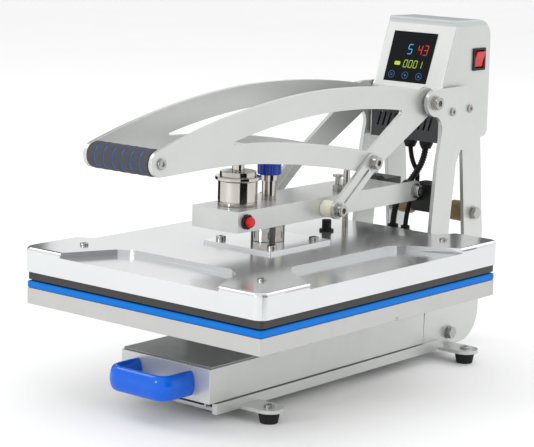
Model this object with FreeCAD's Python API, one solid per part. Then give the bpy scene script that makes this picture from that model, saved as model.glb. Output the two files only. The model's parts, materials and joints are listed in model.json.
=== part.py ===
import FreeCAD, Part
import os
from math import cos, radians, sin, tan

# Clamshell heat press with a slide-out lower platen. Units are millimetres.
# X runs across the press and is its mirror plane, -Y is the operator's side and +Z is up.
# Lengths along Y are written from the platen's centre, and every piece is moved by
# yMiddle on saving, so that the origin is at the middle of the footprint, on the floor.

V = FreeCAD.Vector

# Driving dimensions
platenX = 400.0
platenY = 500.0
footHeight = 15.4
railOuter = 78.5
railInner = 70.5
railTop = 29.3
railFront = -186.0
railRear = 337.0                 # end of the rail's flange
wallRear = 304.0                 # end of the rail's full height, ahead of the lower tie bolt
footX = 112.0
footY = (-123.0, 318.0)
tabWidth = 38.0
tabThick = 5.0

drawerHalf = 76.2
drawerFront = -198.0
drawerRear = 264.0
drawerBottom = 30.6
drawerTop = 75.6
sheet = 2.0

plateBottom = 124.0
plateTop = 145.4
padTop = 155.3
platenGap = 2.0
heatTop = 170.0
coverBottom = 168.0
coverTop = 201.0
coverOver = 4.0
coverSkin = 2.0
recessDeep = 7.0

beamHalf = 39.5
beamFront = -108.0
beamBottom = 232.0
beamTop = 260.0
beamWall = 3.0
mountX = 58.0
mountY = 64.0
mountThick = 4.0
pillarR = 22.5
screwR = 9.5
magnetY = -64.0
magnetR = 26.0
magnetTop = 293.0

handlePivot = (277.0, 375.0)     # the handle on the uprights, as (Y, Z)
beamPivot = (281.0, 246.0)       # the beam on its hinge brackets
linkTop = (146.0, 302.5)         # link on the handle
linkBottom = (71.0, 245.0)       # link on the beam
gripAxis = (-275.0, 341.0)
handleIn = 52.0
handleOut = 58.0
linkIn = 58.5
linkOut = 63.5
uprightIn = 64.5
uprightOut = 70.5
gripR = 16.5
pinR = 6.0
linkPinR = 5.0
running = 0.05                   # radial clearance of a turning pin
gap = 0.3                        # clearance between faces of moving pieces

caseHalf = 61.0
caseBottom = 314.0
caseSeam = 478.0
caseTop = 487.0
caseRear = 428.5
faceBottom = (306.0, 388.0)      # foot and top of the leaning display face
faceTop = (339.5, 484.0)
ventFront = 303.5
caseSkin = 2.0
caseShoulder = 26.0              # size of the box's bend from top to rear
caseEdge = 2.6                   # rounding of the box's side edges
rockerY = 395.5
rockerZ = 429.5

inletFlange = 3.0
ringProud = 0.2                  # how far the grip's rings stand out of the foam

yMiddle = -(gripAxis[0] - gripR - ringProud + caseRear + inletFlange) / 2


def box(x0, x1, y0, y1, z0, z1):
    return Part.makeBox(x1 - x0, y1 - y0, z1 - z0, V(x0, y0, z0))


def rodX(r, x0, x1, y, z):
    return Part.makeCylinder(r, x1 - x0, V(x0, y, z), V(1, 0, 0))


def rodY(r, y0, y1, x, z):
    return Part.makeCylinder(r, y1 - y0, V(x, y0, z), V(0, 1, 0))


def rodZ(r, z0, z1, x=0.0, y=0.0):
    return Part.makeCylinder(r, z1 - z0, V(x, y, z0), V(0, 0, 1))


def cone(r0, r1, z0, z1, x, y):
    return Part.makeCone(r0, r1, z1 - z0, V(x, y, z0), V(0, 0, 1))


def edgesOf(points, place):
    """Lines and arcs: a plain point ends a line, a pair of points (via, end) ends an arc."""
    edges = []
    here = points[0]
    for item in list(points[1:]) + [points[0]]:
        if isinstance(item[0], tuple):
            via, end = item
            edges.append(Part.Arc(place(here), place(via), place(end)).toShape())
        else:
            end = item
            if (V(*place(end)) - V(*place(here))).Length > 0.01:
                edges.append(Part.LineSegment(place(here), place(end)).toShape())
        here = end
    return edges


def plateX(points, x0, x1):
    """A plate standing across X, from its (Y, Z) outline."""
    wire = Part.Wire(edgesOf(points, lambda p: V(x0, p[0], p[1])))
    return Part.Face(wire).extrude(V(x1 - x0, 0, 0))


def plateZ(points, z0, z1):
    """A flat plate from its (X, Y) outline."""
    wire = Part.Wire(edgesOf(points, lambda p: V(p[0], p[1], z0)))
    return Part.Face(wire).extrude(V(0, 0, z1 - z0))


def mirrored(shape):
    return shape.mirror(V(0, 0, 0), V(1, 0, 0))


def both(shape):
    return [shape, mirrored(shape)]


def fuse(shapes):
    result = shapes[0]
    for shape in shapes[1:]:
        result = result.fuse(shape)
    return result.removeSplitter()


def cut(shape, tools):
    for tool in tools:
        shape = shape.cut(tool)
    return shape


def alongZ(edge):
    ends = [v.Point for v in edge.Vertexes]
    return len(ends) == 2 and (ends[0] - ends[1]).cross(V(0, 0, 1)).Length < 0.001


def roundUprights(shape, r):
    """Round a block's vertical edges."""
    return shape.makeFillet(r, [e for e in shape.Edges if alongZ(e)])


def edgesAt(shape, z):
    return [e for e in shape.Edges if abs(e.BoundBox.ZMin - z) < 0.01 and abs(e.BoundBox.ZMax - z) < 0.01]


def hexHead(r, x0, x1, y, z):
    """A hexagon head across X, r across its corners."""
    corners = [(y + r * cos(radians(60 * k)), z + r * sin(radians(60 * k))) for k in range(6)]
    return plateX(corners, x0, x1)


def capScrewX(r, x0, x1, y, z):
    """A button head with a hexagon socket, facing +X."""
    head = rodX(r, x0, x1, y, z)
    head = head.makeFillet(min(2.0, 0.4 * (x1 - x0)), [e for e in head.Edges if e.BoundBox.XMin > x1 - 0.01])
    return head.cut(hexHead(0.5 * r, x1 - 0.5 * (x1 - x0), x1 + 1, y, z))


def capScrewZ(r, z0, z1, x, y):
    """A button head with a hexagon socket, facing up."""
    head = rodZ(r, z0, z1, x, y)
    head = head.makeFillet(0.3 * (z1 - z0), edgesAt(head, z1))
    corners = [(x + 0.5 * r * cos(radians(60 * k)), y + 0.5 * r * sin(radians(60 * k))) for k in range(6)]
    return head.cut(plateZ(corners, z1 - 0.5 * (z1 - z0), z1 + 1))


def save(node, shapes):
    shapes = shapes if isinstance(shapes, list) else [shapes]
    solids = [solid for shape in shapes for solid in shape.Solids]
    piece = solids[0] if len(solids) == 1 else Part.makeCompound(solids)
    piece = piece.copy()
    piece.translate(V(0, yMiddle, 0))
    piece.exportStep("parts/" + node + ".step")


# Base: rails, cross plates, feet and the fixed channel under the drawer

def base():
    flangeTop = footHeight + tabThick
    rail = plateX([(railFront, footHeight), (railRear, footHeight), (railRear, flangeTop), (wallRear + 9.0, flangeTop),
                   (wallRear, railTop), (railFront, railTop)], railInner, railOuter)
    plates = [box(-railInner, railInner, y, y + 40.0, footHeight, footHeight + tabThick)
              for y in (-176.0, 60.0, 232.0)]
    channel = box(-58.0, 58.0, -184.0, 268.0, footHeight + tabThick, 62.0)
    channel = channel.cut(box(-55.0, 55.0, -185.0, 269.0, footHeight + tabThick + 3.0, 63.0))
    save("base_channel", fuse([channel] + plates))
    half = tabWidth / 2
    feet = []
    screws = []
    for y in footY:
        tab = plateZ([(railOuter, y - half), (footX, y - half), ((footX + half, y), (footX, y + half)),
                      (railOuter, y + half)], footHeight, footHeight + tabThick)
        rail = rail.fuse(tab.cut(rodZ(4.2, 0.0, 30.0, footX, y))).removeSplitter()
        foot = cone(11.5, 14.5, 0.0, footHeight, footX, y)
        foot = foot.makeFillet(1.5, edgesAt(foot, 0.0))
        feet += both(foot.cut(rodZ(4.2, 5.0, 20.0, footX, y)))
        screw = fuse([rodZ(4.0, 5.2, footHeight + tabThick, footX, y),
                      capScrewZ(7.0, footHeight + tabThick, footHeight + tabThick + 3.5, footX, y)])
        screws += both(screw)
    save("base_rails", both(rail))
    save("rubber_feet", feet)
    save("foot_screws", screws)
    slide = box(58.0, 65.0, -180.0, 262.0, 40.0, 60.0).cut(box(60.0, 66.0, -181.0, 263.0, 43.0, 57.0))
    save("slide_outer_rails", both(slide))


# Uprights, their tie bars and the hinge brackets

def upright():
    a, b = handlePivot
    r = 18.5
    outline = [(a, b + r), (350.0, 394.0), ((368.0, 386.0), (378.0, 368.0)), (396.0, 316.0), (412.0, 176.0),
               (410.0, 60.0), ((396.5, 28.4), (365.0, footHeight)), (272.0, footHeight), (273.0, 60.0),
               (280.5, 200.0), (288.0, 284.0), (296.0, 326.0), ((295.0, 344.0), (281.0, 355.0)),
               ((a - r * 0.5, b - r * 0.866), (a - r, b)), ((a - r * 0.707, b + r * 0.707), (a, b + r))]
    plate = plateX(outline, uprightIn, uprightOut)
    window = plateX([(345.0, 299.0), ((348.0, 302.0), (351.0, 299.0)), (364.0, 182.0), (366.0, 156.0),
                     ((362.0, 150.0), (356.0, 148.0)), (330.0, 148.0), ((324.0, 150.0), (322.0, 156.0)),
                     (326.0, 197.0), (336.0, 284.0)], uprightIn - 1, uprightOut + 1)
    holes = [rodX(pinR, 60.0, 75.0, a, b)]
    for y, z in caseScrews + tieBolts:
        holes.append(rodX(4.0, 60.0, 75.0, y, z))
    return cut(plate, [window] + holes)


caseScrews = [(321.0, 359.0), (364.0, 361.0)]
tieBolts = [(384.0, 206.0), (334.0, 35.0)]


def frame():
    plate = upright()
    save("upright_right", plate)
    save("upright_left", mirrored(plate))
    small = [fuse([rodX(4.0, caseHalf - 2.0, uprightOut, y, z), capScrewX(6.0, uprightOut, uprightOut + 3.0, y, z)])
             for y, z in caseScrews]
    save("frame_screws", [side for screw in small for side in both(screw)])
    large = []
    for y, z in tieBolts:
        bolt = fuse([rodX(4.0, uprightIn, uprightOut, y, z), rodX(10.0, uprightOut, uprightOut + 2.0, y, z)])
        large += both(fuse([bolt, hexHead(9.0, uprightOut + 2.0, uprightOut + 9.0, y, z)]))
    save("tie_bolts", large)
    upper, lower = tieBolts
    tube = rodX(8.0, -uprightIn, uprightIn, upper[0], upper[1])
    save("rear_tie_shaft", tube)
    roller = rodX(15.0, 36.0, 57.0, upper[0], upper[1]).cut(rodX(8.0, 30.0, 60.0, upper[0], upper[1]))
    save("nylon_rollers", both(roller.makeFillet(1.5, [e for e in roller.Edges if e.Length > 80])))
    foot = box(-uprightIn, uprightIn, lower[0] - 22.0, lower[0] + 22.0, lower[1] - 17.0, lower[1] + 17.0)
    foot = foot.cut(box(-70.0, 70.0, lower[0] - 19.0, lower[0] + 19.0, lower[1] - 14.0, lower[1] + 14.0))
    save("rear_cross_tube", foot)
    y, z = beamPivot
    block = fuse([box(22.0, uprightIn, 297.0, 331.0, 214.0, 254.0), box(22.0, 36.0, y, 298.0, z - 16.0, z + 8.0)])
    block = fuse([block, rodX(14.0, 22.0, 36.0, y, z)])
    block = block.cut(rodX(pinR, 20.0, 40.0, y, z))
    save("hinge_brackets", both(block))
    bolt = fuse([rodX(pinR, 24.0, beamHalf + gap, y, z), rodX(10.5, beamHalf + gap, beamHalf + 2.3, y, z)])
    bolt = fuse([bolt, capScrewX(8.5, beamHalf + 2.3, beamHalf + 9.5, y, z)])
    save("beam_pivot_bolts", both(bolt))
    y, z = handlePivot
    bolt = fuse([rodX(pinR, handleIn - 8.0, uprightOut, y, z), rodX(10.5, uprightOut, uprightOut + 1.8, y, z)])
    bolt = fuse([bolt, capScrewX(9.5, uprightOut + 1.8, uprightOut + 9.0, y, z)])
    bolt = fuse([bolt, hexHead(9.5, handleIn - 8.0, handleIn - gap, y, z)])
    washer = rodX(13.0, handleOut + gap, uprightIn, y, z).cut(rodX(pinR, 50.0, 70.0, y, z))
    save("handle_pivot_bolts", both(bolt) + both(washer))


# Control box on top of the uprights

def caseOutline(grow):
    lean = (faceTop[0] - faceBottom[0]) / (faceTop[1] - faceBottom[1])
    y0 = ventFront - grow
    b = caseBottom - grow
    t = caseTop + grow
    r = 12.0 + grow
    rear = caseRear + grow
    front = faceTop[0] - grow
    return [(y0, b), (rear - r, b), ((rear - r + r * 0.707, b + r - r * 0.707), (rear, b + r)), (rear - 2.0, t - caseShoulder),
            ((rear - 9.6, t - 9.2), (rear - caseShoulder - 2.0, t - 1.0)), (front + 5.0, t),
            ((front + 1.6, t - 1.0), (front + lean * 2.0, t - 5.0)), (faceBottom[0] - grow, faceBottom[1] + 2.0),
            (y0, faceBottom[1] - 2.0)]


def controlBox():
    outer = plateX(caseOutline(0.0), -caseHalf, caseHalf)
    sides = [e for e in outer.Edges if e.BoundBox.XLength < 0.01 and e.BoundBox.YMin > ventFront + 1.0]
    outer = outer.makeFillet(caseEdge, [e for e in sides if e.BoundBox.ZMin > faceBottom[1]])
    inner = plateX(caseOutline(-caseSkin), -caseHalf + caseSkin, caseHalf - caseSkin)
    shell = outer.cut(inner)
    above = box(-80, 80, 200, 500, caseSeam, 520)
    lid = shell.common(above)
    shell = shell.cut(above)
    vent = box(-caseHalf + caseSkin, caseHalf - caseSkin, ventFront - 1, ventFront + caseSkin, caseBottom, 384.0)
    panel = box(-caseHalf + caseSkin, caseHalf - caseSkin, ventFront, ventFront + caseSkin, caseBottom, 384.0)
    slots = []
    pitch = 9.0
    for row in (330.0, 356.0):
        for k in range(11):
            x = -50.0 + k * pitch
            slot = [(x, row), (x + 3.2, row), (x + 9.2, row + 20.0), (x + 6.0, row + 20.0)]
            wire = Part.makePolygon([V(p[0], 300.0, p[1]) for p in slot + slot[:1]])
            slots.append(Part.Face(wire).extrude(V(0, 10, 0)))
    save("vent_panel", cut(panel, slots))
    shell = shell.cut(vent)
    angle = -FreeCAD.Vector(0, faceTop[0] - faceBottom[0], faceTop[1] - faceBottom[1]).getAngle(V(0, 0, 1))
    turn = angle * 180 / 3.141592653589793
    glass = box(-44.5, 31.0, faceBottom[0] - 0.6, faceBottom[0] + 1.4, 396.0, 471.0)
    glass.rotate(V(0, faceBottom[0], faceBottom[1]), V(1, 0, 0), turn)
    seat = box(-44.5, 31.0, faceBottom[0] - 5, faceBottom[0] + 1.4, 396.0, 471.0)
    seat.rotate(V(0, faceBottom[0], faceBottom[1]), V(1, 0, 0), turn)
    save("display_glass", glass)
    shell = shell.cut(seat)
    bezelCut = box(caseHalf - 5, caseHalf + 5, rockerY - 13.5, rockerY + 13.5, rockerZ - 14.4, rockerZ + 14.4)
    inletCut = box(-40.0, -12.0, caseRear - 6, caseRear + 6, 336.0, 356.0)
    glands = [rodZ(glandClamp, caseBottom - 5, caseBottom + 5, x, y) for x, y, r in glandPlaces]
    screws = [rodX(4.0, 55.0, 66.0, y, z) for y, z in caseScrews]
    bosses = both(box(caseHalf, uprightIn, 312.0, 374.0, 352.0, 368.0))
    shell = cut(fuse([shell] + bosses), [bezelCut, inletCut] + glands + screws + [mirrored(s) for s in screws])
    save("control_case", shell)
    save("control_lid", lid)
    bezel = box(caseHalf, caseHalf + 2.5, rockerY - 15.5, rockerY + 15.5, rockerZ - 16.2, rockerZ + 16.2)
    bezel = bezel.makeFillet(1.5, [e for e in bezel.Edges if e.BoundBox.XLength > 2.4])
    bezel = bezel.fuse(box(caseHalf - 12, caseHalf, rockerY - 13.5, rockerY + 13.5, rockerZ - 14.4, rockerZ + 14.4))
    bezel = bezel.cut(box(caseHalf - 10, caseHalf + 5, rockerY - 11.0, rockerY + 11.0, rockerZ - 12.9, rockerZ + 12.9))
    save("switch_bezel", bezel.removeSplitter())
    rocker = plateRocker()
    save("power_rocker", rocker)
    inlet = box(-40.0, -12.0, caseRear - 20, caseRear, 336.0, 356.0)
    inlet = inlet.fuse(box(-44.0, -8.0, caseRear, caseRear + inletFlange, 332.0, 360.0))
    inlet = inlet.cut(box(-37.0, -15.0, caseRear - 15, caseRear + 5, 339.0, 353.0))
    pins = [box(x - 1.0, x + 1.0, caseRear - 15, caseRear - 2, 343.0, 349.0) for x in (-33.0, -26.0, -19.0)]
    save("power_inlet", fuse([inlet] + pins))
    board = box(-50.0, 50.0, 345.0, 347.0, 395.0, 470.0)
    chips = [box(x, x + 16.0, 339.0, 345.0, z, z + 14.0) for x in (-40.0, -8.0, 24.0) for z in (405.0, 440.0)]
    relay = fuse([box(-8.0, 48.0, 390.0, 414.0, 330.0, 370.0), box(-2.0, 42.0, 382.0, 390.0, 334.0, 364.0)])
    save("control_electronics", [fuse([board] + chips), relay])


def plateRocker():
    """The rocker's two slanted faces meet over its pivot pin."""
    reach = caseHalf + 6.0
    outline = [(rockerZ - 11.2, caseHalf - 3.0), (rockerZ - 11.2, reach - 5.5), (rockerZ, reach - 4.0),
               (rockerZ + 11.2, reach), (rockerZ + 11.2, caseHalf - 3.0)]
    wire = Part.makePolygon([V(x, rockerY - 10.6, z) for z, x in outline + outline[:1]])
    body = Part.Face(wire).extrude(V(0, 21.2, 0))
    return body.fuse(rodY(3.0, rockerY - 10.6, rockerY + 10.6, caseHalf - 1.0, rockerZ)).removeSplitter()


conduitRadius = 5.0
cableRadius = 3.5
glandPlaces = [(-12.0, 337.0, cableRadius), (16.0, 337.0, conduitRadius)]
glandClamp = 6.0
glandNut = 10.0


def glandsAndCables():
    """Glands under the control box, and the two flexible leads to the terminal box behind the heat head."""
    pieces = []
    for x, y, r in glandPlaces:
        body = fuse([rodZ(glandClamp, caseBottom - 8.0, caseBottom + 4.0, x, y),
                     rodZ(glandNut, caseBottom - 8.0, caseBottom, x, y),
                     cone(7.0, glandNut, caseBottom - 15.0, caseBottom - 8.0, x, y)])
        pieces.append(body.cut(rodZ(r, caseBottom - 30.0, caseBottom + 20.0, x, y)))
    save("case_glands", pieces)
    save("heater_conduit", tubeAlong(conduitRoute, conduitRadius))
    save("sensor_cable", tubeAlong(cableRoute, cableRadius))
    save("sensor_gland", fuse([rodZ(10.0, coverTop, coverTop + 3.0, 0.0, 128.0),
                               rodZ(6.5, coverTop + 3.0, coverTop + 16.0, 0.0, 128.0)]))
    ends = [(cableRoute[-1], cableRadius), (conduitRoute[-1], conduitRadius)]
    terminal = box(-18.0, 21.0, rearWall, rearWall + 50.0, 168.0, ends[0][0][2])
    terminal = terminal.makeFillet(2.5, [e for e in terminal.Edges if e.BoundBox.YMin > rearWall + 40])
    for (x, y, z), r in ends:
        terminal = terminal.fuse(rodZ(r + 3.0, z - 2.0, z + 6.0, x, y)).cut(rodZ(r, z, z + 10.0, x, y))
    save("terminal_box", terminal)


rearWall = platenY / 2 + coverOver
conduitRoute = [(16.0, 337.0, 312.0), (16.0, 337.0, 282.0), (0.0, 313.0, 244.0), (-6.0, 293.0, 214.0),
                (-6.0, 293.0, 184.0)]
cableRoute = [(-12.0, 337.0, 312.0), (-12.0, 337.0, 284.0), (7.0, 339.0, 256.0), (14.0, 296.0, 212.0),
              (14.0, 296.0, 184.0)]


def tubeAlong(points, r):
    """A round lead: straight runs joined by arcs that leave 0.45 of the shorter run each side."""
    points = [V(*p) for p in points]
    edges = []
    here = points[0]
    for k in range(1, len(points) - 1):
        into = points[k] - points[k - 1]
        away = points[k + 1] - points[k]
        turn = into.getAngle(away)
        reach = 0.45 * min(into.Length, away.Length)
        radius = reach / tan(turn / 2)
        print("lead bend radius", round(radius, 1))
        into.normalize()
        away.normalize()
        start = points[k] - into * reach
        end = points[k] + away * reach
        inward = away - into
        inward.normalize()
        centre = points[k] + inward * (radius / cos(turn / 2))
        middle = centre - inward * radius
        edges.append(Part.LineSegment(here, start).toShape())
        edges.append(Part.Arc(start, middle, end).toShape())
        here = end
    edges.append(Part.LineSegment(here, points[-1]).toShape())
    spine = Part.Wire(edges)
    ring = Part.Wire(Part.makeCircle(r, points[0], points[1] - points[0]))
    tube = spine.makePipeShell([ring], True, False)
    print("lead volume ratio", round(tube.Volume / (3.14159 * r * r * spine.Length), 4))
    return tube


# Drawer: the tray, its slides, the lower platen and the front pull

def drawer():
    tray = box(-drawerHalf, drawerHalf, drawerFront, drawerRear, drawerBottom, drawerTop)
    tray = tray.cut(box(-drawerHalf + sheet, drawerHalf - sheet, drawerFront + sheet, drawerRear + 1,
                        drawerBottom - 1, drawerTop - sheet))
    save("drawer_box", tray)
    save("drawer_top", box(-drawerHalf + 1.0, drawerHalf - 1.0, drawerFront + 3.0, drawerRear - 3.0,
                           drawerTop, drawerTop + 3.0))
    inner = box(65.3, drawerHalf - sheet, -180.0, 262.0, 41.0, 59.0)
    inner = inner.fuse(box(60.4, 65.4, -180.0, 262.0, 43.4, 56.6)).removeSplitter()
    save("slide_inner_rails", both(inner))
    post = box(-58.0, 58.0, -95.0, 95.0, drawerTop + 3.0, plateBottom)
    post = post.cut(box(-50.0, 50.0, -87.0, 87.0, drawerTop, plateBottom + 1))
    save("platen_pedestal", post)
    plate = roundUprights(box(-platenX / 2, platenX / 2, -platenY / 2, platenY / 2, plateBottom, plateTop), 2.0)
    save("lower_platen", plate.cut(box(platenX / 2 - 2.0, platenX / 2 + 1, 22.0, 27.0, plateBottom - 1, plateBottom + 4.0)))
    pad = roundUprights(box(-platenX / 2, platenX / 2, -platenY / 2, platenY / 2, plateTop, padTop), 2.0)
    save("silicone_pad", pad)
    save("drawer_pull", pull())


pullPosts = (-50.0, 46.0)
pullDeep = 57.0
pullBar = 11.0
pullLow = 36.5
pullHigh = 69.5


def pull():
    x0 = pullPosts[0] - 5.0
    x1 = pullPosts[1] + 5.0
    outer = roundPull(x0, x1, drawerFront - pullDeep, drawerFront, 24.0)
    inner = roundPull(x0 + pullBar, x1 - pullBar, drawerFront - pullDeep + pullBar, drawerFront + 1, 16.0)
    body = outer.cut(inner)
    body = body.makeFillet(4.6, edgesAt(body, pullLow) + edgesAt(body, pullHigh))
    return body.common(box(x0 - 1, x1 + 1, drawerFront - pullDeep - 1, drawerFront, pullLow - 1, pullHigh + 1))


def roundPull(x0, x1, y0, y1, r):
    c = r - r * 0.7071
    return plateZ([(x0, y1), (x0, y0 + r), ((x0 + c, y0 + c), (x0 + r, y0)), (x1 - r, y0),
                   ((x1 - c, y0 + c), (x1, y0 + r)), (x1, y1)], pullLow, pullHigh)


# Heat head on the beam

def recesses(grow, z0):
    """The four dished sides of the cover, each wider at the cover's edge."""
    x = platenX / 2 + coverOver + 1
    y = platenY / 2 + coverOver + 1
    g = grow
    side = [(125.0 - g, 100.0 + g), (140.0, 124.0 + g), (x, 164.0 + g), (x, -164.0 - g), (140.0, -124.0 - g),
            (125.0 - g, -100.0 - g)]
    end = [(80.0 + g, -168.0 + g), (104.0 + g, -184.0), (136.0 + g, -y), (-136.0 - g, -y), (-104.0 - g, -184.0),
           (-80.0 - g, -168.0 + g)]
    right = plateZ(side, z0, coverTop + 1)
    front = plateZ(end, z0, coverTop + 1)
    rear = front.mirror(V(0, 0, 0), V(0, 1, 0))
    return [right, mirrored(right), front, rear]


def head():
    bottom = padTop + platenGap
    heat = roundUprights(box(-platenX / 2, platenX / 2, -platenY / 2, platenY / 2, bottom, heatTop), 6.0)
    boss = box(-58.0, 58.0, -60.0, 60.0, heatTop, coverTop - coverSkin)
    heat = cut(fuse([heat, boss]), [rodZ(3.0, 180.0, 210.0, *p) for p in corners(44.0, 44.0)])
    save("heat_platen", heat)
    x = platenX / 2 + coverOver
    y = platenY / 2 + coverOver
    cover = roundUprights(box(-x, x, -y, y, coverBottom, coverTop), 14.0)
    cover = cover.makeFillet(5.0, edgesAt(cover, coverTop))
    cavity = roundUprights(box(-x + coverSkin, x - coverSkin, -y + coverSkin, y - coverSkin,
                               coverBottom - 1, coverTop - coverSkin), 12.0)
    cavity = cut(cavity, recesses(coverSkin, coverTop - recessDeep - coverSkin))
    cover = cut(cover, recesses(0.0, coverTop - recessDeep))
    cover = cover.cut(cavity)
    holes = [rodZ(3.0, 190.0, 210.0, *p) for p in corners(152.0, 193.0) + corners(44.0, 44.0)]
    holes.append(rodZ(5.0, 190.0, 210.0, 0.0, 170.0))
    save("head_cover", cut(cover, holes))
    wool = box(-180.0, 180.0, -230.0, 230.0, heatTop, 190.0)
    wool = cut(wool, [rodZ(4.0, 150.0, 210.0, *p) for p in corners(152.0, 193.0)])
    save("insulation_blanket", wool.cut(box(-62.0, 62.0, -68.0, 68.0, 160.0, 210.0)))
    plate = roundUprights(box(-mountX, mountX, -mountY, mountY, coverTop, coverTop + mountThick), 2.0)
    plate = plate.cut(rodZ(screwR + 0.4, 190.0, 210.0))
    save("mount_plate", cut(plate, [rodZ(3.0, 190.0, 210.0, *p) for p in corners(44.0, 44.0)]))
    screws = [fuse([rodZ(3.0, 186.0, coverTop + mountThick, *p),
                    capScrewZ(6.5, coverTop + mountThick, coverTop + mountThick + 5.0, *p)]) for p in corners(44.0, 44.0)]
    screws += [fuse([rodZ(3.0, 180.0, coverTop, *p), capScrewZ(5.5, coverTop, coverTop + 3.0, *p)])
               for p in corners(152.0, 193.0)]
    save("head_screws", screws)
    rod = rodZ(4.4, 192.0, 283.0, 0.0, 170.0)
    save("guide_rod", rod.makeFillet(1.0, edgesAt(rod, 283.0)))


def corners(x, y):
    return [(sx * x, sy * y) for sx in (-1, 1) for sy in (-1, 1)]


def beam():
    y, z = beamPivot
    r = beamPivot[1] - beamBottom
    side = [(beamFront, beamBottom), (y, beamBottom), ((y + r, z), (y, beamTop)), (beamFront, beamTop)]
    body = plateX(side, -beamHalf, beamHalf)
    w = beamHalf - beamWall
    body = body.cut(box(-w, w, beamFront + beamWall, 400.0, beamBottom - 1, beamTop - beamWall))
    body = body.cut(box(-w, w, 244.0, 400.0, beamBottom - 1, beamTop + 1))
    holes = [rodX(pinR + running, -60.0, 60.0, y, z), rodZ(screwR + 0.4, 200.0, 300.0), rodZ(5.0, 240.0, 300.0, 0.0, 170.0),
             rodX(linkPinR, -60.0, 60.0, *linkBottom), rodX(6.0, 30.0, 60.0, *buttonPlace), rodZ(4.0, 240.0, 300.0, 20.0, 125.0),
             rodZ(12.0, 240.0, 300.0, 0.0, magnetY)]
    save("beam_channel", cut(body, holes))
    pillar = rodZ(pillarR, coverTop + mountThick, beamTop - beamWall)
    pillar = pillar.cut(rodZ(screwR + 0.1, 200.0, 300.0))
    save("pillar", pillar)
    magnet = fuse([rodZ(magnetR, beamTop, magnetTop, 0.0, magnetY), rodZ(12.0, beamTop - 10.0, beamTop, 0.0, magnetY)])
    rim = [e for e in edgesAt(magnet, magnetTop) if e.Length > 100] + [e for e in edgesAt(magnet, beamTop) if e.Length > 160]
    save("electromagnet", magnet.makeFillet(1.2, rim))
    stop = fuse([rodZ(4.0, 252.0, 280.0, 20.0, 125.0), rodZ(7.5, 280.0, 283.0, 20.0, 125.0)])
    nut = hexNut(8.0, beamTop, beamTop + 9.0, 20.0, 125.0, 4.0)
    y, z = linkBottom
    spacer = rodX(11.5, beamHalf, linkIn - gap, y, z).cut(rodX(linkPinR, 30.0, 70.0, y, z))
    spacer = spacer.makeFillet(1.2, [e for e in spacer.Edges if e.Length > 60 and e.BoundBox.XLength < 0.01])
    save("link_spacers", both(spacer))
    bolt = fuse([rodX(linkPinR, 34.0, linkOut + gap, y, z), rodX(10.5, linkOut + gap, linkOut + 2.2, y, z)])
    bolt = fuse([bolt, capScrewX(8.5, linkOut + 2.2, linkOut + 9.5, y, z)])
    bolt = fuse([bolt, hexHead(8.5, 28.0, beamHalf - beamWall, y, z)])
    save("beam_bolts", both(bolt) + [stop, nut])
    y, z = buttonPlace
    bezel = fuse([rodX(9.8, beamHalf, beamHalf + 4.0, y, z), rodX(6.0 + 2.4, beamHalf - beamWall - 8, beamHalf - beamWall, y, z)])
    bezel = fuse([bezel, rodX(6.0, beamHalf - beamWall, beamHalf, y, z)])
    bezel = bezel.cut(rodX(5.0, 20.0, 50.0, y, z)).cut(rodX(7.4, beamHalf + 0.5, 50.0, y, z))
    save("button_bezel", bezel)
    cap = fuse([rodX(4.8, beamHalf - 8.0, beamHalf + 4.5, y, z), rodX(7.0, beamHalf + 4.0, beamHalf + 11.0, y, z)])
    cap = cap.makeFillet(2.5, [e for e in cap.Edges if e.BoundBox.XMin > beamHalf + 10.9])
    save("release_button", cap)


buttonPlace = (-92.0, 246.0)


def hexNut(r, z0, z1, x, y, bore):
    points = [(x + r * cos(radians(60 * k)), y + r * sin(radians(60 * k))) for k in range(6)]
    return plateZ(points, z0, z1).cut(rodZ(bore, z0 - 1, z1 + 1, x, y))


def pressureKnob():
    stem = fuse([rodZ(screwR, coverTop + mountThick + 1.0, 296.0), rodZ(12.0, 286.0, 294.0)])
    save("pressure_screw", stem)
    knob = rodZ(16.0, 294.0, 312.0)
    knob = knob.makeFillet(1.5, edgesAt(knob, 294.0) + edgesAt(knob, 312.0))
    dents = [rodZ(3.0, 290.0, 316.0, 18.0 * cos(radians(k * 30)), 18.0 * sin(radians(k * 30))) for k in range(12)]
    save("pressure_knob", cut(knob, dents + [rodZ(screwR, 290.0, 296.0)]))


# Handle: two side plates, grip, cross bar and the magnet's armature

def tangentPoint(centre, r, n):
    return (centre[0] + r * n[0], centre[1] + r * n[1])


def handlePlate():
    a = handlePivot
    b = linkTop
    g = gripAxis
    span = ((a[0] - b[0]) ** 2 + (a[1] - b[1]) ** 2) ** 0.5
    n = ((a[1] - b[1]) / span, -(a[0] - b[0]) / span)      # square to the diagonal leg, downwards
    ra = 19.0
    rb = 16.0
    outline = [(g[0] - 3.0, g[1] + 16.2), ((-136.0, 391.0), (0.0, 407.2)), ((130.0, 407.0), (262.0, 393.4)),
               ((a[0] + 15.4, a[1] + 11.0), (a[0] + 18.2, a[1] - 5.5)), (tangentPoint(a, ra, n)),
               tangentPoint(b, rb, n), ((b[0] + 2.0, b[1] - 15.9), (b[0] - 8.0, b[1] - 13.9)),
               ((40.0, 306.5), (-60.0, 319.8)), ((-120.0, 325.0), (-180.0, 326.5)), (g[0], g[1] - gripR),
               ((g[0] - gripR, g[1]), (g[0] - 3.0, g[1] + 16.2))]
    opening = [(-140.0, 352.6), ((-141.4, 354.2), (-139.4, 355.6)), ((40.0, 377.2), (212.0, 368.6)),
               ((216.0, 366.4), (213.6, 362.6)), (145.6, 319.6), ((142.0, 318.2), (138.0, 318.6)),
               ((26.0, 338.0), (-90.0, 350.2))]
    plate = plateX(outline, handleIn, handleOut)
    plate = plate.cut(plateX(opening, handleIn - 1, handleOut + 1))
    holes = [rodX(pinR + running, 40.0, 70.0, *a), rodX(linkPinR + 0.5, 40.0, 70.0, *b), rodX(4.0, 40.0, 70.0, *g)]
    return cut(plate, holes)


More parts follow.
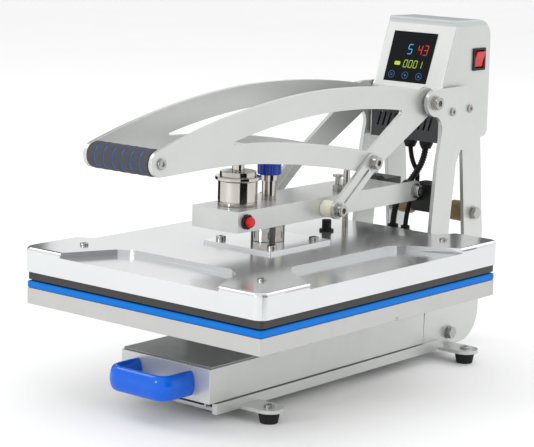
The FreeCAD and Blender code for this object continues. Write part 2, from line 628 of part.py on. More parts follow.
ringCount = 6
ringInset = 14.5


def handle():
    plate = handlePlate()
    save("handle_plate_right", plate)
    save("handle_plate_left", mirrored(plate))
    y, z = gripAxis
    core = rodX(10.0, -handleIn, handleIn, y, z)
    save("grip_core", core)
    foam = rodX(gripR, -handleIn + 0.5, handleIn - 0.5, y, z).cut(rodX(10.0, -60.0, 60.0, y, z))
    rings = []
    pitch = 2 * (handleIn - ringInset) / (ringCount - 1)
    for k in range(ringCount):
        x = ringInset - handleIn + k * pitch
        groove = rodX(gripR + 1, x - 0.8, x + 0.8, y, z).cut(rodX(gripR - 1.6, x - 1, x + 1, y, z))
        foam = foam.cut(groove)
        rings.append(rodX(gripR + ringProud, x - 0.8, x + 0.8, y, z).cut(rodX(gripR - 1.6, x - 1, x + 1, y, z)))
    save("foam_grip", foam)
    save("grip_rings", rings)
    screws = both(fuse([rodX(4.0, handleIn, handleOut, y, z), capScrewX(7.0, handleOut, handleOut + 3.5, y, z)]))
    save("handle_screws", screws)
    bar = box(-handleIn, handleIn, -76.0, -52.0, 324.0, 340.0)
    save("armature_bar", bar)
    stem = fuse([rodZ(8.0, 305.0, 324.0, 0.0, magnetY), rodZ(24.0, 298.5, 305.0, 0.0, magnetY)])
    disc = rodZ(30.0, magnetTop + gap, 298.5, 0.0, magnetY)
    disc = disc.makeFillet(1.5, edgesAt(disc, magnetTop + gap))
    save("armature", fuse([stem, disc]))


def links():
    b = linkTop
    c = linkBottom
    span = ((b[0] - c[0]) ** 2 + (b[1] - c[1]) ** 2) ** 0.5
    u = ((b[0] - c[0]) / span, (b[1] - c[1]) / span)
    n = (-u[1], u[0])
    r = 12.5
    outline = [tangentPoint(c, r, n), (tangentPoint(c, -r, u), tangentPoint(c, -r, n)), tangentPoint(b, -r, n),
               (tangentPoint(b, r, u), tangentPoint(b, r, n))]
    plate = plateX(outline, linkIn, linkOut)
    s = 1.8
    low = (c[0] + 17.0 * u[0] - 1.0 * n[0], c[1] + 17.0 * u[1] - 1.0 * n[1])
    high = (b[0] - 15.0 * u[0] - 1.0 * n[0], b[1] - 15.0 * u[1] - 1.0 * n[1])
    slot = plateX([tangentPoint(low, s, n), (tangentPoint(low, -s, u), tangentPoint(low, -s, n)),
                   tangentPoint(high, -s, n), (tangentPoint(high, s, u), tangentPoint(high, s, n))], linkIn - 1, linkOut + 1)
    plate = cut(plate, [slot, rodX(linkPinR + running, 50.0, 70.0, *c), rodX(linkPinR, 50.0, 70.0, *b)])
    save("link_plates", both(plate))
    bolt = fuse([rodX(linkPinR, linkIn, linkOut, *b), rodX(10.5, linkOut, linkOut + 1.9, *b)])
    save("link_upper_bolts", both(fuse([bolt, capScrewX(9.0, linkOut + 1.9, linkOut + 10.0, *b)])))


os.makedirs("parts", exist_ok=True)
base()
frame()
controlBox()
glandsAndCables()
drawer()
head()
beam()
pressureKnob()
handle()
links()
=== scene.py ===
import json
from math import cos, pi, radians, sin, sqrt

import bmesh
import bpy
from mathutils import Matrix, Vector


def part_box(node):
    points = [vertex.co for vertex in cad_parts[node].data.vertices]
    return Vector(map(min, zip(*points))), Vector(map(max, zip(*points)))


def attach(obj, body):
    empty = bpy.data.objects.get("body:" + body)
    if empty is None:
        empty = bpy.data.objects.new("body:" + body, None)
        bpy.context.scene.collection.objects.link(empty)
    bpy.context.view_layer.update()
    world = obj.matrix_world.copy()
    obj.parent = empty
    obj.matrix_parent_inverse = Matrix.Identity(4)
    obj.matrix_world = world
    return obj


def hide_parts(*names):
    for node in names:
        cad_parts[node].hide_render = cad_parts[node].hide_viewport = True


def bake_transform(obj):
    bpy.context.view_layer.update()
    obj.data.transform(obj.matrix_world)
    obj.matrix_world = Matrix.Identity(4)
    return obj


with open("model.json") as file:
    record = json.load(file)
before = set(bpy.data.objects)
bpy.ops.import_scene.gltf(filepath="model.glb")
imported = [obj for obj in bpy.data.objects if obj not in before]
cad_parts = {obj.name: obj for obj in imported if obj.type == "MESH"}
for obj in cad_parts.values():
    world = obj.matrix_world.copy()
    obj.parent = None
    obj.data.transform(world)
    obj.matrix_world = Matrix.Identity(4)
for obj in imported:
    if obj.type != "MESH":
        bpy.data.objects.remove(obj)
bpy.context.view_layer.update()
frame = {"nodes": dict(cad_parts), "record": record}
print("frame loaded")

mm = 0.001
record = frame["record"]
bodyOf = {node: body for body, nodes in record["behaviour"]["bodies"].items() for node in nodes}
slotOf = {part["node"]: part["material_slot"] for part in record["subparts"]}


def middle(node):
    low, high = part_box(node)
    return (low + high) / 2


platenMiddle = middle("heat_platen").y          # lengths along Y are counted from here


def at(x, y, z):
    return Vector((x * mm, y * mm + platenMiddle, z * mm))


# Shader maths: a Value wraps a socket, so finishes read as sums

class Value:
    def __init__(self, look, socket):
        self.look = look
        self.socket = socket

    def maths(self, operation, left, right):
        return self.look.add("ShaderNodeMath", {"operation": operation}, {0: left, 1: right})

    def __add__(self, other):
        return self.maths("ADD", self, other)

    def __mul__(self, other):
        return self.maths("MULTIPLY", self, other)

    __radd__ = __add__
    __rmul__ = __mul__


class Look:
    def __init__(self, name):
        self.material = bpy.data.materials.new(name)
        self.material.use_nodes = True
        self.tree = self.material.node_tree
        self.shader = self.tree.nodes["Principled BSDF"]
        self.place = self.add("ShaderNodeTexCoord", {}, {}, "Object")

    def add(self, kind, settings, sockets, output=0):
        node = self.tree.nodes.new(kind)
        for key, value in settings.items():
            if key == "stops":
                for element, (where, shade) in zip(node.color_ramp.elements, value):
                    element.position = where
                    element.color = (shade, shade, shade, 1)
            else:
                setattr(node, key, value)
        for key, value in sockets.items():
            self.join(node.inputs[key], value)
        return Value(self, node.outputs[output])

    def join(self, socket, value):
        if isinstance(value, Value):
            self.tree.links.new(value.socket, socket)
        else:
            socket.default_value = value

    def noise(self, scale, detail=3.0, stretch=(1, 1, 1)):
        spot = self.add("ShaderNodeMapping", {}, {"Vector": self.place, "Scale": stretch})
        return self.add("ShaderNodeTexNoise", {}, {"Vector": spot, "Scale": scale, "Detail": detail})

    def cells(self, scale):
        return self.add("ShaderNodeTexVoronoi", {}, {"Vector": self.place, "Scale": scale})

    def ramp(self, value, low, high):
        return self.add("ShaderNodeValToRGB", {"stops": [(low, 0.0), (high, 1.0)]}, {0: value})

    def mix(self, factor, first, second):
        return self.add("ShaderNodeMix", {"data_type": "RGBA"}, {0: factor, 6: first, 7: second}, 2)

    def bump(self, height, distance, strength=1.0):
        return self.add("ShaderNodeBump", {}, {"Height": height, "Distance": distance, "Strength": strength})

    def give(self, **sockets):
        for key, value in sockets.items():
            self.join(self.shader.inputs[key.replace("_", " ")], value)
        return self.material


def shade(colour, factor):
    return tuple(c * factor for c in colour) + (1.0,)


# Finishes

def powderCoat(name, colour, metal, rough, grain=0.00004):
    look = Look(name)
    patches = look.noise(14.0, 4.0)
    peel = look.noise(1100.0, 2.0)
    rubbed = look.ramp(look.noise(46.0, 8.0), 0.58, 0.74)
    tone = look.mix(patches, shade(colour, 0.95), shade(colour, 1.05))
    tone = look.mix(rubbed * 0.12, tone, shade(colour, 0.82))
    return look.give(Base_Color=tone, Metallic=metal, Roughness=peel * 0.1 + rubbed * 0.06 + (rough - 0.05),
                     Normal=look.bump(peel, grain, 0.7))


def pressedSheet(name, colour, rough):
    look = Look(name)
    grainLines = look.noise(420.0, 3.0, (1.0, 0.03, 1.0))
    clouds = look.noise(7.0, 3.0)
    wiped = look.ramp(look.noise(22.0, 4.0, (1, 0.35, 1)), 0.4, 0.9)
    tone = look.mix(clouds, shade(colour, 0.95), shade(colour, 1.04))
    return look.give(Base_Color=tone, Metallic=0.75, Roughness=grainLines * 0.05 + wiped * 0.04 + rough,
                     Normal=look.bump(grainLines, 0.000012, 0.5))


def brightMetal(name, colour, rough, scratch=0.04):
    look = Look(name)
    haze = look.noise(90.0, 5.0)
    lines = look.ramp(look.noise(800.0, 2.0, (1, 1, 0.08)), 0.45, 0.75)
    tone = look.mix(haze, shade(colour, 0.93), shade(colour, 1.05))
    return look.give(Base_Color=tone, Metallic=1.0, Roughness=haze * 0.05 + lines * scratch + rough,
                     Normal=look.bump(lines, 0.000006, 0.4))


def mouldedPlastic(name, colour, rough, grain, coat=0.0):
    look = Look(name)
    pebbles = look.noise(1600.0, 2.0)
    clouds = look.noise(24.0, 3.0)
    tone = look.mix(clouds, shade(colour, 0.92), shade(colour, 1.08))
    return look.give(Base_Color=tone, Roughness=clouds * 0.05 + pebbles * 0.06 + rough, Coat_Weight=coat,
                     Specular_IOR_Level=0.3,
                     Normal=look.bump(pebbles, grain, 0.6))


def softRubber(name, colour, rough, grain=0.00008):
    look = Look(name)
    pores = look.cells(1300.0)
    dust = look.ramp(look.noise(60.0, 6.0), 0.5, 0.8)
    tone = look.mix(dust * 0.2, shade(colour, 1.0), shade(tuple(c * 0.8 + 0.03 for c in colour), 1.0))
    return look.give(Base_Color=tone, Roughness=dust * 0.1 + rough, Specular_IOR_Level=0.15,
                     Normal=look.bump(pores, grain, 0.5))


def closedFoam(name, colour):
    look = Look(name)
    cells = look.cells(900.0)
    lumps = look.noise(240.0, 4.0)
    tone = look.mix(cells, shade(colour, 0.7), shade(colour, 1.35))
    return look.give(Base_Color=tone, Roughness=lumps * 0.12 + 0.78, Normal=look.bump(cells + lumps, 0.00025, 0.8))


def fibreWool(name, colour):
    look = Look(name)
    strands = look.noise(300.0, 6.0, (1, 0.15, 1))
    tone = look.mix(strands, shade(colour, 0.75), shade(colour, 1.1))
    return look.give(Base_Color=tone, Roughness=0.95, Normal=look.bump(strands, 0.0006, 1.0))


def darkWindow(name):
    look = Look(name)
    smear = look.noise(40.0, 4.0)
    return look.give(Base_Color=(0.003, 0.0035, 0.005, 1), Roughness=smear * 0.06 + 0.12, Specular_IOR_Level=0.12)


def litMark(name, colour, strength):
    look = Look(name)
    flicker = look.noise(500.0, 2.0)
    tone = look.mix(flicker, shade(colour, 0.75), shade(colour, 1.0))
    return look.give(Base_Color=look.mix(flicker, shade(colour, 0.12), shade(colour, 0.18)), Emission_Color=tone,
                     Emission_Strength=strength, Roughness=0.4, Specular_IOR_Level=0.1)


silver = (0.56, 0.575, 0.56)
recipes = [
    ("frame_paint", powderCoat, silver, 0.55, 0.32),
    ("platen_paint", powderCoat, (0.47, 0.47, 0.455), 0.3, 0.40),
    ("lid_grey", powderCoat, (0.45, 0.47, 0.48), 0.12, 0.42),
    ("black_steel", powderCoat, (0.014, 0.014, 0.015), 0.1, 0.36),
    ("vent_grey", powderCoat, (0.030, 0.034, 0.036), 0.1, 0.45),
    # tray_grey: the drawer top's dark grey is partly painted shade and a painted reflection of the dark platen above
    # it, partly a darker finish of the top itself
    ("tray_grey", powderCoat, (0.23, 0.24, 0.24), 0.55, 0.34),
    ("heat_dark", powderCoat, (0.040, 0.038, 0.036), 0.4, 0.45),
    ("cover_paint", pressedSheet, (0.66, 0.675, 0.68), 0.13),
    ("mount_steel", pressedSheet, (0.78, 0.79, 0.80), 0.12),
    ("chrome", brightMetal, (0.50, 0.475, 0.44), 0.07),
    ("zinc", brightMetal, (0.42, 0.41, 0.39), 0.20, 0.12),
    ("slide_steel", brightMetal, (0.5, 0.5, 0.5), 0.26, 0.12),
    ("pull_blue", mouldedPlastic, (0.0, 0.105, 0.62), 0.08, 0.000004, 0.1),
    ("knob_blue", mouldedPlastic, (0.002, 0.030, 0.32), 0.22, 0.00001, 0.3),
    ("ring_blue", mouldedPlastic, (0.012, 0.085, 0.30), 0.35, 0.00001),
    ("nylon_white", mouldedPlastic, (0.80, 0.76, 0.62), 0.38, 0.00002),
    ("nylon_tan", mouldedPlastic, (0.36, 0.24, 0.10), 0.45, 0.00002),
    ("black_plastic", mouldedPlastic, (0.012, 0.012, 0.013), 0.42, 0.00004),
    ("red_plastic", mouldedPlastic, (0.52, 0.002, 0.006), 0.14, 0.000008, 0.25),
    ("board_green", mouldedPlastic, (0.02, 0.16, 0.06), 0.3, 0.00002),
    ("rubber_black", softRubber, (0.014, 0.014, 0.015), 0.6),
    ("pad_blue", softRubber, (0.0, 0.15, 0.56), 0.5, 0.00003),
    ("foam_dark", closedFoam, (0.050, 0.051, 0.057)),
    ("wool", fibreWool, (0.75, 0.72, 0.62)),
    ("display_black", darkWindow),
]
finishes = {name: maker(name, *values) for name, maker, *values in recipes}
for node, piece in frame["nodes"].items():
    piece.data.materials.clear()
    piece.data.materials.append(finishes[slotOf[node]])
print("finishes made")


# Ways of making a piece

def settle(name, shape, body, slot, stands=(), material=None, sharp=38.0, weighted=True):
    mesh = bpy.data.meshes.new(name)
    shape.to_mesh(mesh)
    shape.free()
    mesh.shade_smooth()
    mesh.set_sharp_from_angle(angle=radians(sharp))
    mesh.materials.append(material or finishes[slot])
    piece = bpy.data.objects.new(name, mesh)
    bpy.context.scene.collection.objects.link(piece)
    if weighted:
        even = piece.modifiers.new("even normals", "WEIGHTED_NORMAL")
        even.keep_sharp = True
    if body:
        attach(piece, body)
    if stands:
        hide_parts(*stands)
    return piece


def lathe(profile, steps=64):
    shape = bmesh.new()
    points = [shape.verts.new((r * mm, 0, h * mm)) for r, h in profile]
    edges = [shape.edges.new(pair) for pair in zip(points, points[1:])]
    bmesh.ops.spin(shape, geom=points + edges, axis=(0, 0, 1), cent=(0, 0, 0), angle=2 * pi, steps=steps,
                   use_merge=True)
    bmesh.ops.remove_doubles(shape, verts=shape.verts, dist=1e-6)
    bmesh.ops.recalc_face_normals(shape, faces=shape.faces)
    return shape


def moved(shape, matrix):
    bmesh.ops.transform(shape, matrix=matrix, verts=shape.verts)
    return shape


def routeLine(points):
    curve = bpy.data.curves.new("route", "CURVE")
    curve.dimensions = "3D"
    curve.resolution_u = 24
    spline = curve.splines.new("NURBS")
    spline.points.add(len(points) - 1)
    for knot, point in zip(spline.points, points):
        knot.co = (*point, 1)
    spline.order_u = 3
    spline.use_endpoint_u = True
    holder = bpy.data.objects.new("route", curve)
    mesh = bpy.data.meshes.new_from_object(holder)
    line = [v.co.copy() for v in mesh.vertices]
    bpy.data.objects.remove(holder)
    bpy.data.meshes.remove(mesh)
    return line


def stepped(line, pitch):
    places = [line[0]]
    left = pitch
    for a, b in zip(line, line[1:]):
        run = (b - a).length
        while run > 0 and left <= run:
            places.append(a.lerp(b, left / run))
            left += pitch
        left -= run
    return places


def sweep(places, section, sizes, side):
    shape = bmesh.new()
    ring = None
    for k, place in enumerate(places):
        ahead = (places[min(k + 1, len(places) - 1)] - places[max(k - 1, 0)]).normalized()
        across = (side - side.dot(ahead) * ahead).normalized()
        up = ahead.cross(across)
        spots = [place + across * (u * sizes[k]) + up * (v * sizes[k]) for u, v in section]
        if ring is None:
            ring = [shape.verts.new(s) for s in spots]
            edges = [shape.edges.new((ring[i], ring[(i + 1) % len(ring)])) for i in range(len(ring))]
            bmesh.ops.contextual_create(shape, geom=edges)
        else:
            grown = bmesh.ops.extrude_edge_only(shape, edges=edges)["geom"]
            edges = [g for g in grown if isinstance(g, bmesh.types.BMEdge)
                     and all(v not in ring for v in g.verts)]
            fresh = []
            for old in ring:
                fresh.append(next(e.other_vert(old) for e in old.link_edges if e.other_vert(old) in grown))
            for vert, spot in zip(fresh, spots):
                vert.co = spot
            ring = fresh
    bmesh.ops.contextual_create(shape, geom=edges)
    bmesh.ops.recalc_face_normals(shape, faces=shape.faces)
    return shape


# Hard pieces: a merged copy of the CAD node, with its sharp edges rounded as a press brake or a file leaves them

edgeWidths = {
    "upright_right": 0.7, "upright_left": 0.7, "handle_plate_right": 0.7, "handle_plate_left": 0.7,
    "link_plates": 0.6, "beam_channel": 0.9, "control_case": 0.5, "control_lid": 0.5, "drawer_box": 0.7,
    "drawer_top": 0.5, "lower_platen": 0.9, "heat_platen": 0.8, "mount_plate": 0.7, "armature_bar": 0.8,
    "base_rails": 0.6, "base_channel": 0.6, "rear_cross_tube": 0.6, "platen_pedestal": 0.7,
    "hinge_brackets": 0.6, "vent_panel": 0.25, "switch_bezel": 0.3, "power_rocker": 0.5,
    "terminal_box": 0.5, "power_inlet": 0.4, "pressure_knob": 0.4, "tie_bolts": 0.4,
    "handle_pivot_bolts": 0.35, "link_upper_bolts": 0.35, "beam_pivot_bolts": 0.35, "beam_bolts": 0.35,
    "head_screws": 0.25, "frame_screws": 0.25, "foot_screws": 0.25, "handle_screws": 0.25,
    "release_button": 0.3, "button_bezel": 0.4, "armature": 0.6, "sensor_gland": 0.4, "case_glands": 0.4,
    "rubber_feet": 0.6, "nylon_rollers": 0.4, "display_glass": 0.3, "slide_inner_rails": 0.3,
    "slide_outer_rails": 0.3, "link_spacers": 0.3, "rear_tie_shaft": 0.4, "pressure_screw": 0.4,
}


sharpTurn = 38.0                                # degrees; a flatter edge isn't rounded


def mergedCopy(node):
    shape = bmesh.new()
    shape.from_mesh(frame["nodes"][node].data)
    bmesh.ops.remove_doubles(shape, verts=shape.verts, dist=2e-6)
    bmesh.ops.dissolve_limit(shape, angle_limit=radians(0.6), verts=shape.verts, edges=shape.edges)
    return shape


def roundedCopy(node, width, picks=lambda edge: True, segments=2):
    shape = mergedCopy(node)
    edges = [e for e in shape.edges
             if len(e.link_faces) == 2 and e.calc_face_angle(0) > radians(sharpTurn) and picks(e)]
    bmesh.ops.bevel(shape, geom=edges, offset=width * mm, offset_type="OFFSET", affect="EDGES",
                    segments=segments, profile=0.5, material=-1, clamp_overlap=True)
    return settle(node + "_shell", shape, bodyOf[node], slotOf[node], [node])


for node, width in edgeWidths.items():
    roundedCopy(node, width)

pressedCover = {"bend": 2.2, "segments": 4}
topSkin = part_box("head_cover")[1].z - 8 * mm
coverLow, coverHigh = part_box("head_cover")


def onOutside(edge):
    spots = [v.co for v in edge.verts]
    return all(v.z > topSkin for v in spots) and max(abs(v.x) for v in spots) < coverHigh.x - 0.5 * mm


roundedCopy("head_cover", pressedCover["bend"], onOutside, pressedCover["segments"])
print("hard pieces made")


# Silicone pad: a sponge sheet, slightly fuller in the middle, with its moulded edge rounded

siliconePad = {"edge": 2.6, "crown": 0.25, "longEdge": 0.3, "cuts": 24}


def padShape():
    low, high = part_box("silicone_pad")
    shape = bmesh.new()
    bmesh.ops.create_cube(shape, size=1)
    moved(shape, Matrix.Translation((low + high) / 2) @ Matrix.Diagonal((*(high - low), 1)))
    bmesh.ops.bevel(shape, geom=shape.edges[:], offset=siliconePad["edge"] * mm, affect="EDGES", segments=4,
                    profile=0.5, material=-1)
    long = [e for e in shape.edges if e.calc_length() > siliconePad["longEdge"]]
    bmesh.ops.subdivide_edges(shape, edges=long, cuts=siliconePad["cuts"], use_grid_fill=True)
    centre = (low + high) / 2
    half = (high - low) / 2
    for v in shape.verts:
        u = (v.co.x - centre.x) / half.x
        w = (v.co.y - centre.y) / half.y
        bulge = max(0.0, 1 - u * u) * max(0.0, 1 - w * w)
        if v.co.z > centre.z:
            v.co.z -= siliconePad["crown"] * mm * (1 - bulge)
    return shape


pad = settle("silicone_sponge", padShape(), bodyOf["silicone_pad"], "pad_blue", ["silicone_pad"])


# Foam grip: one sleeve, swelling a little between the rings that nip it

foamGrip = {"swell": 0.55, "nip": 1.3, "groove": 1.1, "endRound": 3.0, "bore": 10.1, "rings": 6, "steps": 72}


def gripShape():
    low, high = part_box("foam_grip")
    centre = (low + high) / 2
    radius = (high.z - low.z) / 2 / mm
    ringLow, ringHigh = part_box("grip_rings")
    first = ringLow.x / mm + 0.8
    last = ringHigh.x / mm - 0.8
    gaps = foamGrip["rings"] - 1
    rings = [first + k * (last - first) / gaps for k in range(foamGrip["rings"])]
    stops = [low.x / mm] + rings + [high.x / mm]
    profile = [(foamGrip["bore"], stops[0]), (radius - foamGrip["endRound"], stops[0])]
    for a, b in zip(stops, stops[1:]):
        for k in range(1, 12):
            t = k / 12
            r = radius + foamGrip["swell"] * sin(pi * t)
            near = min(b - (a + (b - a) * t), (b - a) * t)
            if near < foamGrip["groove"] and b - a > 4:
                r = radius - foamGrip["nip"] * (1 - near / foamGrip["groove"])
            profile.append((r, a + (b - a) * t))
        if b != stops[-1]:
            profile.append((radius - foamGrip["nip"], b))
    profile += [(radius - foamGrip["endRound"], stops[-1]), (foamGrip["bore"], stops[-1])]
    shape = lathe(profile, foamGrip["steps"])
    return moved(shape, Matrix.Translation((0, centre.y, centre.z)) @ Matrix.Rotation(pi / 2, 4, "Y"))


grip = settle("foam_sleeve", gripShape(), bodyOf["foam_grip"], "foam_dark", ["foam_grip"], sharp=60)
print("soft pieces made")


# Magnet, pillar: turned bright pieces, with their parting grooves

magnetPot = {"radius": 26.0, "height": 33.0, "edge": 1.2, "groove": 0.7, "spigot": 12.0, "spigotDeep": 10.0}
pillarTurned = {"radius": 22.5, "groove": 0.6, "grooveAt": 0.42}


def turned(node, profile, name):
    low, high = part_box(node)
    centre = (low + high) / 2
    shape = moved(lathe(profile, 96), Matrix.Translation((centre.x, centre.y, 0)))
    return settle(name, shape, bodyOf[node], slotOf[node], [node], sharp=50)


def magnetProfile():
    low, high = (v.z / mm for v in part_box("electromagnet"))
    base = low + magnetPot["spigotDeep"]
    r, e, g = magnetPot["radius"], magnetPot["edge"], magnetPot["groove"]
    seat = magnetPot["spigot"]
    return [(0, low), (seat, low), (seat, base), (r - e, base), (r - 0.3 * e, base + 0.3 * e), (r, base + e),
            (r, base + 5), (r - g, base + 5.4), (r - g, base + 6), (r, base + 6.4), (r, high - e),
            (r - 0.3 * e, high - 0.3 * e), (r - e, high), (21, high), (21, high - 1), (13, high - 1), (13, high),
            (0, high)]


def pillarProfile():
    low, high = (v.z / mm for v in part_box("pillar"))
    r, g = pillarTurned["radius"], pillarTurned["groove"]
    seam = low + (high - low) * pillarTurned["grooveAt"]
    return [(9.6, low), (r - 0.8, low), (r, low + 0.8), (r, seam - 0.6), (r - g, seam - 0.3), (r - g, seam + 0.3),
            (r, seam + 0.6), (r, high - 0.8), (r - 0.8, high), (9.6, high), (9.6, low)]


turned("electromagnet", magnetProfile(), "magnet_pot")
turned("pillar", pillarProfile(), "pillar_turned")


# Drawer pull: one thick moulded band, bent round at both corners

drawerPull = {"thick": 15.0, "corner": 32.0, "around": 36, "fullness": 1.0}


def pullShape():
    low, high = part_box("drawer_pull")
    half = drawerPull["thick"] / 2 * mm
    tall = (high.z - low.z) / 2
    z = (low.z + high.z) / 2
    x0, x1 = low.x + half, high.x - half
    y0, y1 = low.y + half, high.y
    c = drawerPull["corner"] * mm
    route = [(x0, y1), (x0, y1 - 0.012), (x0, y0 + c), (x0, y0), (x0 + c, y0), (0.5 * (x0 + x1), y0),
             (x1 - c, y0), (x1, y0), (x1, y0 + c), (x1, y1 - 0.012), (x1, y1)]
    line = stepped(routeLine([Vector((x, y, z)) for x, y in route]), 2.0 * mm)
    if (line[-1] - Vector((x1, y1, z))).length > 0.2 * mm:
        line.append(Vector((x1, y1, z)))
    section = []
    for k in range(drawerPull["around"]):
        t = 2 * pi * k / drawerPull["around"]
        power = drawerPull["fullness"]
        across = abs(cos(t)) ** power * (1 if cos(t) > 0 else -1)
        upward = abs(sin(t)) ** power * (1 if sin(t) > 0 else -1)
        section.append((upward * tall, across * half))
    return sweep(line, section, [1.0] * len(line), Vector((0, 0, 1)))


settle("pull_moulding", pullShape(), bodyOf["drawer_pull"], "pull_blue", ["drawer_pull"], sharp=60, weighted=False)


# Leads from the control box to the head: a corrugated conduit and a round cable. They repeat the part's routes.

conduitRoute = [(16, 337, 312), (16, 337, 282), (0, 313, 244), (-6, 293, 214), (-6, 293, 184)]
cableRoute = [(-12, 337, 312), (-12, 337, 284), (7, 339, 256), (14, 296, 212), (14, 296, 184)]
conduit = {"radius": 4.9, "rib": 0.85, "pitch": 0.9, "around": 20}
cable = {"radius": 3.4, "pitch": 2.5, "around": 20}


def roundSection(count, radius):
    return [(radius * mm * cos(2 * pi * k / count), radius * mm * sin(2 * pi * k / count)) for k in range(count)]


def lead(name, node, route, facts, slot):
    places = stepped(routeLine([at(*p) for p in route]), facts["pitch"] * mm)
    rib = facts.get("rib", 0.0) / facts["radius"]
    sizes = [1 - rib * (k % 4 in (2, 3)) for k in range(len(places))]
    shape = sweep(places, roundSection(facts["around"], facts["radius"]), sizes, Vector((1, 0, 0)))
    piece = settle(name, shape, None, slot, [node], sharp=70, weighted=False)
    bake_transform(piece)
    return piece


lead("ribbed_conduit", "heater_conduit", conduitRoute, conduit, "black_plastic")
lead("probe_cable", "sensor_cable", cableRoute, cable, "rubber_black")
print("leads made")


# Display: lit seven-bar digits, a lamp and three touch marks on the leaning window

window = {"lean": 19.235, "thick": 2.0, "proud": 0.12}
digitBars = {"0": "abcdef", "1": "bc", "3": "abcdg", "4": "bcfg", "5": "acdfg"}
windowLow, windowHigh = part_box("display_glass")
leanUp = Vector((0, sin(radians(window["lean"])), cos(radians(window["lean"]))))
leanOut = Vector((0, -cos(radians(window["lean"])), sin(radians(window["lean"]))))
windowCorner = Vector((windowLow.x, windowLow.y, windowLow.z + window["thick"] * mm * sin(radians(window["lean"]))))


def onWindow(u, v, w=0.0):
    return windowCorner + Vector((u * mm, 0, 0)) + leanUp * (v * mm) + leanOut * (w * mm)


def tile(shape, corners):
    low = [shape.verts.new(onWindow(u, v, 0.0)) for u, v in corners]
    face = shape.faces.new(low)
    raised = bmesh.ops.extrude_face_region(shape, geom=[face])["geom"]
    bmesh.ops.translate(shape, vec=leanOut * (window["proud"] * mm),
                        verts=[g for g in raised if isinstance(g, bmesh.types.BMVert)])


def bar(shape, u0, v0, u1, v1, wide):
    long = sqrt((u1 - u0) ** 2 + (v1 - v0) ** 2)
    du, dv = (u1 - u0) / long, (v1 - v0) / long
    h = wide / 2
    tile(shape, [(u0, v0), (u0 + du * h - dv * h, v0 + dv * h + du * h), (u1 - du * h - dv * h, v1 - dv * h + du * h),
                 (u1, v1), (u1 - du * h + dv * h, v1 - dv * h - du * h), (u0 + du * h + dv * h, v0 + dv * h - du * h)])


def digit(shape, figure, u, v, wide, tall, stroke):
    slant = 0.10 * tall
    half = tall / 2
    spots = {"a": ((0, tall), (wide, tall)), "b": ((wide, tall), (wide, half)), "c": ((wide, half), (wide, 0)),
             "d": ((0, 0), (wide, 0)), "e": ((0, half), (0, 0)), "f": ((0, tall), (0, half)),
             "g": ((0, half), (wide, half))}
    for letter in digitBars[figure]:
        (a, b), (c, d) = spots[letter]
        bar(shape, u + a + slant * b / tall, v + b, u + c + slant * d / tall, v + d, stroke)


def litPiece(name, colour, strength, draw):
    shape = bmesh.new()
    draw(shape)
    bmesh.ops.recalc_face_normals(shape, faces=shape.faces)
    return settle(name, shape, "root", "display_black", (), litMark(name, colour, strength), weighted=False)


def drawReading(figures, u, v, wide, tall, stroke, pitch):
    def draw(shape):
        for k, figure in enumerate(figures):
            digit(shape, figure, u + k * pitch, v, wide, tall, stroke)
    return draw


def ringTile(shape, u, v, radius, wide):
    count = 28
    for k in range(count):
        a, b = 2 * pi * k / count, 2 * pi * (k + 1) / count
        tile(shape, [(u + radius * cos(a), v + radius * sin(a)), (u + radius * cos(b), v + radius * sin(b)),
                     (u + (radius - wide) * cos(b), v + (radius - wide) * sin(b)),
                     (u + (radius - wide) * cos(a), v + (radius - wide) * sin(a))])


def drawTouchMarks(shape):
    for k, u in enumerate((12.0, 36.0, 60.0)):
        ringTile(shape, u, 10.0, 5.4, 0.7)
        if k == 0:
            tile(shape, [(u - 2, 8.6), (u + 2, 8.6), (u + 2, 9.4), (u - 2, 9.4)])
            tile(shape, [(u - 2, 10.6), (u + 2, 10.6), (u + 2, 11.4), (u - 2, 11.4)])
        elif k == 1:
            tile(shape, [(u - 2.4, 11.2), (u, 7.6), (u + 2.4, 11.2)])
        else:
            tile(shape, [(u - 2.4, 8.6), (u + 2.4, 8.6), (u, 12.4)])


def drawLamp(shape):
    tile(shape, [(14, 24.2), (22, 24.2), (23, 25.4), (23, 28.6), (22, 29.8), (14, 29.8), (13, 28.6), (13, 25.4)])


litPiece("reading_blue", (0.10, 0.55, 1.0), 0.6, drawReading("5", 31.0, 42.0, 6.6, 14.0, 1.5, 10.0))
litPiece("reading_red", (1.0, 0.10, 0.06), 0.5, drawReading("43", 48.5, 42.0, 6.2, 14.0, 1.3, 10.0))
litPiece("reading_green", (0.72, 0.95, 0.12), 0.55, drawReading("0001", 29.0, 22.0, 5.4, 10.5, 1.0, 8.6))
litPiece("lamp_green", (0.75, 1.0, 0.1), 0.6, drawLamp)
litPiece("touch_marks", (0.10, 0.42, 0.85), 0.25, drawTouchMarks)
print("display lit")


# Stage, light and camera

studio = {"azimuth": 39.52, "elevation": 10.31, "roll": 1.58, "distance": 2.6525, "lens": 132.17,
          "across": 0.00401, "upward": 0.18924, "aimHeight": 0.0346}


def makeCamera():
    a, e, r = (radians(studio[k]) for k in ("azimuth", "elevation", "roll"))
    back = Vector((sin(a) * cos(e), -cos(a) * cos(e), sin(e)))
    flat = Vector((cos(a), sin(a), 0))
    over = back.cross(flat)
    right = cos(r) * flat + sin(r) * over
    up = cos(r) * over - sin(r) * flat
    aim = Vector((0, platenMiddle, studio["aimHeight"])) + right * studio["across"] + up * studio["upward"]
    data = bpy.data.cameras.new("camera")
    data.lens = studio["lens"]
    data.sensor_width = 36
    camera = bpy.data.objects.new("camera", data)
    turn = Matrix((right, up, back)).transposed().to_4x4()
    camera.matrix_world = Matrix.Translation(aim + back * studio["distance"]) @ turn
    bpy.context.scene.collection.objects.link(camera)
    bpy.context.scene.camera = camera


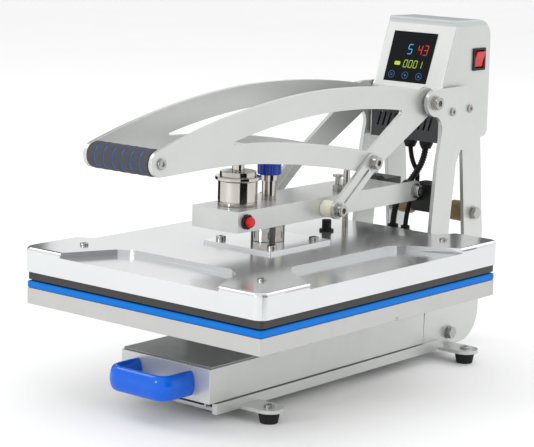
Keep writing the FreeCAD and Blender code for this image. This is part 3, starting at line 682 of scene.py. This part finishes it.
softBoxes = [("key", (-2.5, -1.3, 2.8), 1.4, 24), ("window", (-0.5, -2.6, 0.9), 0.32, 12),
             ("side", (2.8, -0.4, 1.7), 1.6, 20),
             ("rear", (0.4, 2.6, 2.4), 2.2, 20)]
room = {"white": 1.0, "cardRadius": 1.25, "cardTop": 1.7, "cards": [(48, 92), (-74, -118), (-148, -172)], "steps": 16}


def makeLights():
    target = Vector((0, 0, 0.2))
    for name, place, size, power in softBoxes:
        data = bpy.data.lights.new(name, "AREA")
        data.size = size
        data.energy = power
        light = bpy.data.objects.new(name, data)
        aim = (target - Vector(place)).to_track_quat("-Z", "Y").to_matrix().to_4x4()
        light.matrix_world = Matrix.Translation(place) @ aim
        bpy.context.scene.collection.objects.link(light)


def makeWorld():
    world = bpy.data.worlds.new("room")
    world.use_nodes = True
    bpy.context.scene.world = world
    background = world.node_tree.nodes["Background"]
    background.inputs["Color"].default_value = (1, 1, 1, 1)
    background.inputs["Strength"].default_value = room["white"]
    bpy.context.scene.view_settings.view_transform = "Standard"


def makeCards():
    black = Look("card_black").give(Base_Color=(0.01, 0.01, 0.01, 1), Roughness=0.9, Specular_IOR_Level=0.0)
    for number, (first, last) in enumerate(room["cards"]):
        shape = bmesh.new()
        posts = []
        for k in range(room["steps"] + 1):
            a = radians(first + (last - first) * k / room["steps"])
            x, y = sin(a) * room["cardRadius"], -cos(a) * room["cardRadius"]
            posts.append((shape.verts.new((x, y, 0.0)), shape.verts.new((x, y, room["cardTop"]))))
        for (a, b), (c, d) in zip(posts, posts[1:]):
            shape.faces.new((a, c, d, b))
        mesh = bpy.data.meshes.new("card")
        shape.to_mesh(mesh)
        shape.free()
        mesh.materials.append(black)
        card = bpy.data.objects.new(f"card_{number}", mesh)
        bpy.context.scene.collection.objects.link(card)
        card.visible_camera = False        # seen only in bright metal
        card.visible_diffuse = False
        card.visible_shadow = False
        card.visible_transmission = False


def makeFloor():
    shape = bmesh.new()
    bmesh.ops.create_grid(shape, x_segments=2, y_segments=2, size=15.0)
    mesh = bpy.data.meshes.new("floor")
    shape.to_mesh(mesh)
    shape.free()
    look = Look("floor_paper")
    faint = look.noise(3.0, 2.0)
    mesh.materials.append(look.give(Base_Color=look.mix(faint, (0.9, 0.9, 0.9, 1), (0.93, 0.93, 0.93, 1)),
                                    Roughness=0.7))
    floor = bpy.data.objects.new("floor", mesh)
    bpy.context.scene.collection.objects.link(floor)


makeCamera()
makeLights()
makeWorld()
makeCards()
makeFloor()

print("scene ready")
